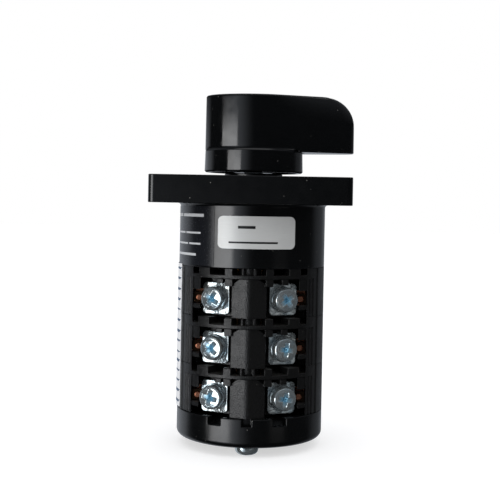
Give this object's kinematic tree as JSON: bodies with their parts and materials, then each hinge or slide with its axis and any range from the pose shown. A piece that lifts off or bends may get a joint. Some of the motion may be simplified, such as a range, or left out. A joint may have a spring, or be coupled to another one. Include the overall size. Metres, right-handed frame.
{
  "type": "cam switch",
  "caption": "Rotary cam switch with a lever handle, square panel flange, round housing and stacked contact layers with clamp-screw terminals.",
  "frame": {"origin": "centre of the flange's front face, on the shaft's axis", "axes": "+Z along the shaft towards the lever, -Y the front of the switch, +X the way the lever points in the off position"},
  "size_m": [0.067, 0.065, 0.1195],
  "materials": {
    "black_housing_plastic": "gloss",
    "black_block_plastic": "satin",
    "black_handle_plastic": "gloss",
    "spring_steel": "satin",
    "brass": "satin",
    "copper": "satin",
    "zinc_plated_steel": "bright",
    "shaft_steel": "satin",
    "white_nylon": "satin",
    "ochre_nylon": "satin",
    "silver_label": "satin",
    "black_label": "satin",
    "white_label": "matte"
  },
  "bodies": {
    "housing": {"front_housing": "black_housing_plastic", "detent_cover": "black_block_plastic", "detent_spring_front": "spring_steel", "detent_spring_rear": "spring_steel", "tie_inserts": "brass", "tie_screws": "zinc_plated_steel", "end_cap": "black_housing_plastic", "contact_block_1": "black_block_plastic", "contact_block_2": "black_block_plastic", "contact_block_3": "black_block_plastic", "fixed_contact_1_front_left": "brass", "fixed_contact_1_front_right": "brass", "fixed_contact_1_rear_left": "brass", "fixed_contact_1_rear_right": "brass", "fixed_contact_2_front_left": "brass", "fixed_contact_2_front_right": "brass", "fixed_contact_2_rear_left": "brass", "fixed_contact_2_rear_right": "brass", "fixed_contact_3_front_left": "brass", "fixed_contact_3_front_right": "brass", "fixed_contact_3_rear_left": "brass", "fixed_contact_3_rear_right": "brass", "contact_rivets": "copper", "terminal_screws": "zinc_plated_steel", "spring_washers": "zinc_plated_steel", "clamp_washers": "zinc_plated_steel", "front_label": "silver_label", "rating_label": "black_label", "side_label": "white_label", "return_spring_1_front": "spring_steel", "return_spring_1_rear": "spring_steel", "return_spring_2_front": "spring_steel", "return_spring_2_rear": "spring_steel", "return_spring_3_front": "spring_steel", "return_spring_3_rear": "spring_steel"},
    "knob": {"handle": "black_handle_plastic", "handle_screw": "zinc_plated_steel", "handle_washer": "zinc_plated_steel", "shaft": "shaft_steel", "detent_wheel": "white_nylon", "cam_1": "ochre_nylon", "cam_2": "ochre_nylon", "cam_3": "ochre_nylon"},
    "contact_carrier_1_front": {"follower_1_front": "white_nylon", "bridge_1_front": "copper"},
    "contact_carrier_1_rear": {"follower_1_rear": "white_nylon", "bridge_1_rear": "copper"},
    "contact_carrier_2_front": {"follower_2_front": "white_nylon", "bridge_2_front": "copper"},
    "contact_carrier_2_rear": {"follower_2_rear": "white_nylon", "bridge_2_rear": "copper"},
    "contact_carrier_3_front": {"follower_3_front": "white_nylon", "bridge_3_front": "copper"},
    "contact_carrier_3_rear": {"follower_3_rear": "white_nylon", "bridge_3_rear": "copper"}
  },
  "joints": [
    {"name": "knob_turn", "type": "hinge", "parent": "housing", "child": "knob", "pos_m": [0, 0, 0], "axis": [0, 0, 1], "range_deg": [-45, 45], "deforming": ["detent_spring_front", "detent_spring_rear"]},
    {"name": "contact_slide_1_front", "type": "slide", "parent": "housing", "child": "contact_carrier_1_front", "axis": [0, -1, 0], "range_m": [-0.00151, 0.00151], "deforming": ["return_spring_1_front"]},
    {"name": "contact_slide_1_rear", "type": "slide", "parent": "housing", "child": "contact_carrier_1_rear", "axis": [0, 1, 0], "range_m": [-0.00151, 0.00151], "deforming": ["return_spring_1_rear"]},
    {"name": "contact_slide_2_front", "type": "slide", "parent": "housing", "child": "contact_carrier_2_front", "axis": [0, -1, 0], "range_m": [-0.00151, 0.00151], "deforming": ["return_spring_2_front"]},
    {"name": "contact_slide_2_rear", "type": "slide", "parent": "housing", "child": "contact_carrier_2_rear", "axis": [0, 1, 0], "range_m": [-0.00151, 0.00151], "deforming": ["return_spring_2_rear"]},
    {"name": "contact_slide_3_front", "type": "slide", "parent": "housing", "child": "contact_carrier_3_front", "axis": [0, -1, 0], "range_m": [-0.00151, 0.00151], "deforming": ["return_spring_3_front"]},
    {"name": "contact_slide_3_rear", "type": "slide", "parent": "housing", "child": "contact_carrier_3_rear", "axis": [0, 1, 0], "range_m": [-0.00151, 0.00151], "deforming": ["return_spring_3_rear"]}
  ],
  "couplings": [
    {"joint": "contact_slide_1_front", "follows": "knob_turn", "m_per_rad": 0.0019099},
    {"joint": "contact_slide_1_rear", "follows": "knob_turn", "m_per_rad": -0.0019099},
    {"joint": "contact_slide_2_front", "follows": "knob_turn", "m_per_rad": 0.0019099},
    {"joint": "contact_slide_2_rear", "follows": "knob_turn", "m_per_rad": -0.0019099},
    {"joint": "contact_slide_3_front", "follows": "knob_turn", "m_per_rad": 0.0019099},
    {"joint": "contact_slide_3_rear", "follows": "knob_turn", "m_per_rad": -0.0019099}
  ]
}
